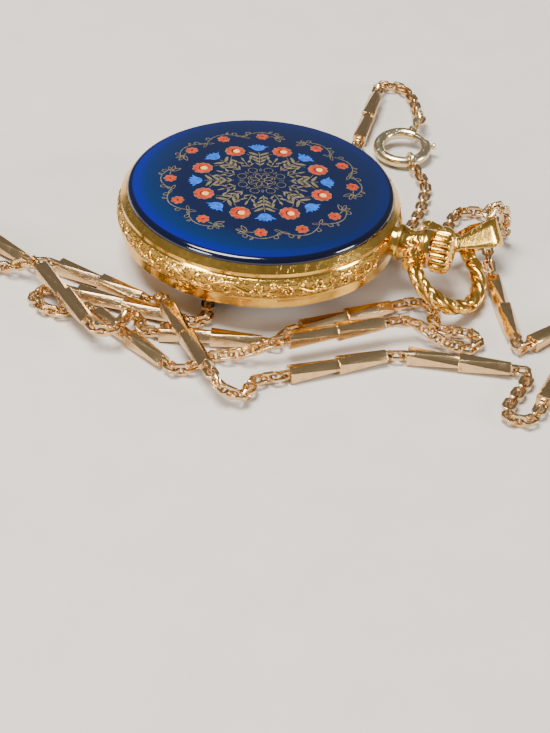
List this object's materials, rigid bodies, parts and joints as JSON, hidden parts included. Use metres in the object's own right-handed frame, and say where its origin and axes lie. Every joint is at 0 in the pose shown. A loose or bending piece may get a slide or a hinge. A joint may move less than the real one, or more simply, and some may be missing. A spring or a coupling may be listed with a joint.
{
  "type": "pendant watch",
  "caption": "Gold pendant watch with an enamelled back, opening bow and bail, on a bar-and-cable chain with a spring-ring clasp.",
  "frame": {"origin": "centre of the crystal's outer face, on the dial side of the case", "axes": "+Z from the dial side through the case to the enamelled back, +Y from the case's centre to the crown and bow, +X to the side of the near bow arm"},
  "size_m": [0.0653, 0.0757, 0.0092],
  "materials": {
    "yellow_gold": "polished yellow gold, engraved on the rims",
    "chain_gold": "bright champagne gold, diamond cut",
    "clasp_gold": "polished pale gold",
    "blue_enamel": "glossy deep blue with painted flowers",
    "movement_brass": "gilt, brushed",
    "movement_steel": "brushed",
    "spring_steel": "polished spring steel",
    "crystal": "clear, polished",
    "dial_enamel": "white, glossy",
    "hand_steel": "blued"
  },
  "bodies": {
    "watch": {"crystal": "crystal", "front_bezel": "yellow_gold", "case_middle": "yellow_gold", "back_lid": "yellow_gold", "enamel_disc": "blue_enamel", "pendant_neck": "yellow_gold", "bow_pins": "yellow_gold", "dial": "dial_enamel", "hour_markers": "hand_steel", "main_plate": "movement_brass", "movement_ring": "movement_brass", "barrel_bridge": "movement_brass", "train_bridge": "movement_brass", "balance_cock": "movement_brass", "hairspring": "spring_steel", "spring_ring_body": "clasp_gold", "jump_rings": "clasp_gold", "bridge_screws": "hand_steel", "chain_links_clasp": "chain_gold", "chain_links_near": "chain_gold", "chain_links_tail": "chain_gold", "chain_links_bow": "chain_gold", "chain_links_bail": "chain_gold", "chain_bars_clasp": "chain_gold", "chain_bars_near": "chain_gold", "chain_bars_tail": "chain_gold", "chain_bars_bow": "chain_gold"},
    "bow": {"bow": "yellow_gold"},
    "bail": {"bail": "yellow_gold"},
    "crown": {"crown": "yellow_gold", "winding_stem": "movement_steel"},
    "winding_pinion": {"winding_pinion": "movement_steel"},
    "setting_lever": {"setting_lever": "movement_steel"},
    "crown_wheel": {"crown_wheel": "movement_steel"},
    "ratchet": {"ratchet_wheel": "movement_steel", "barrel_arbor": "movement_steel"},
    "click": {"click": "movement_steel"},
    "fourth_wheel": {"fourth_wheel": "movement_brass"},
    "third_wheel": {"third_wheel": "movement_brass"},
    "centre": {"centre_wheel": "movement_brass", "cannon_pinion": "movement_steel", "minute_hand": "hand_steel"},
    "barrel": {"barrel": "movement_brass", "mainspring": "spring_steel"},
    "escape_wheel": {"escape_wheel": "movement_steel"},
    "minute_wheel": {"minute_wheel": "movement_brass"},
    "hour": {"hour_wheel": "movement_brass", "hour_hand": "hand_steel"},
    "pallet_fork": {"pallet_fork": "movement_steel"},
    "balance": {"balance_wheel": "movement_brass"},
    "clasp_lever": {"spring_ring_lever": "clasp_gold"}
  },
  "joints": [
    {"name": "bow_swing", "type": "hinge", "parent": "watch", "child": "bow", "pos_m": [0, 0.0169, 0.0039], "axis": [1, 0, 0], "range_deg": [0, 125], "deforming": ["chain_links_bail"]},
    {"name": "bail_swing", "type": "hinge", "parent": "bow", "child": "bail", "pos_m": [-0.0051, 0.01963, 0.00199], "axis": [-0.042, -0.8183, 0.5732], "range_deg": [0, 40], "deforming": ["chain_links_bail"]},
    {"name": "crown_turn", "type": "hinge", "parent": "watch", "child": "winding_pinion", "pos_m": [0, 0.014, 0.0039], "axis": [0, 1, 0], "continuous": true},
    {"name": "crown_pull", "type": "slide", "parent": "winding_pinion", "child": "crown", "axis": [0, 1, 0], "range_m": [0, 0.0008]},
    {"name": "setting_lever_turn", "type": "hinge", "parent": "watch", "child": "setting_lever", "pos_m": [0.0019, 0.0089, 0.0039], "axis": [0, 0, 1], "range_deg": [-32, 0]},
    {"name": "crown_wheel_turn", "type": "hinge", "parent": "watch", "child": "crown_wheel", "pos_m": [0, 0.00735, 0.0049], "axis": [0, 0, 1], "continuous": true},
    {"name": "ratchet_turn", "type": "hinge", "parent": "watch", "child": "ratchet", "pos_m": [-0.00309, 0.00368, 0.0049], "axis": [0, 0, 1], "continuous": true},
    {"name": "click_turn", "type": "hinge", "parent": "watch", "child": "click", "pos_m": [-0.00659, 0.00306, 0.0049], "axis": [0, 0, 1], "range_deg": [0, 8], "stiffness_Nm_per_rad": 0.000002},
    {"name": "fourth_turn", "type": "hinge", "parent": "watch", "child": "fourth_wheel", "pos_m": [0.00483, -0.00348, 0.003], "axis": [0, 0, 1], "continuous": true},
    {"name": "third_turn", "type": "hinge", "parent": "watch", "child": "third_wheel", "pos_m": [0.00169, -0.00292, 0.003], "axis": [0, 0, 1], "continuous": true},
    {"name": "centre_turn", "type": "hinge", "parent": "watch", "child": "centre", "pos_m": [0, 0, 0.003], "axis": [0, 0, 1], "continuous": true},
    {"name": "barrel_turn", "type": "hinge", "parent": "watch", "child": "barrel", "pos_m": [-0.00309, 0.00368, 0.003], "axis": [0, 0, 1], "continuous": true},
    {"name": "escape_turn", "type": "hinge", "parent": "watch", "child": "escape_wheel", "pos_m": [0.00648, -0.00062, 0.003], "axis": [0, 0, 1], "continuous": true},
    {"name": "minute_wheel_turn", "type": "hinge", "parent": "watch", "child": "minute_wheel", "pos_m": [-0.00138, -0.00197, 0.002], "axis": [0, 0, 1], "continuous": true},
    {"name": "hour_turn", "type": "hinge", "parent": "watch", "child": "hour", "pos_m": [0, 0, 0.002], "axis": [0, 0, 1], "continuous": true},
    {"name": "pallet_turn", "type": "hinge", "parent": "watch", "child": "pallet_fork", "pos_m": [0.00714, 0.00185, 0.003], "axis": [0, 0, 1], "range_deg": [-5, 5]},
    {"name": "balance_turn", "type": "hinge", "parent": "watch", "child": "balance", "pos_m": [0.0046, 0.0046, 0.003], "axis": [0, 0, 1], "range_deg": [-135, 135], "stiffness_Nm_per_rad": 0.0000002},
    {"name": "clasp_lever_turn", "type": "hinge", "parent": "watch", "child": "clasp_lever", "pos_m": [-0.0252, 0.0083, -0.00035], "axis": [0.139, 0, 0.9903], "range_deg": [-44, 0], "stiffness_Nm_per_rad": 0.001}
  ],
  "couplings": [
    {"joint": "setting_lever_turn", "follows": "crown_pull", "rad_per_m": -698},
    {"joint": "crown_wheel_turn", "follows": "crown_turn", "ratio": -0.625},
    {"joint": "ratchet_turn", "follows": "crown_turn", "ratio": 0.41667},
    {"joint": "third_turn", "follows": "fourth_turn", "ratio": -0.13333},
    {"joint": "centre_turn", "follows": "fourth_turn", "ratio": 0.016667},
    {"joint": "barrel_turn", "follows": "fourth_turn", "ratio": -0.002381},
    {"joint": "escape_turn", "follows": "fourth_turn", "ratio": -10},
    {"joint": "minute_wheel_turn", "follows": "fourth_turn", "ratio": -0.0055556},
    {"joint": "hour_turn", "follows": "fourth_turn", "ratio": 0.0013889}
  ]
}
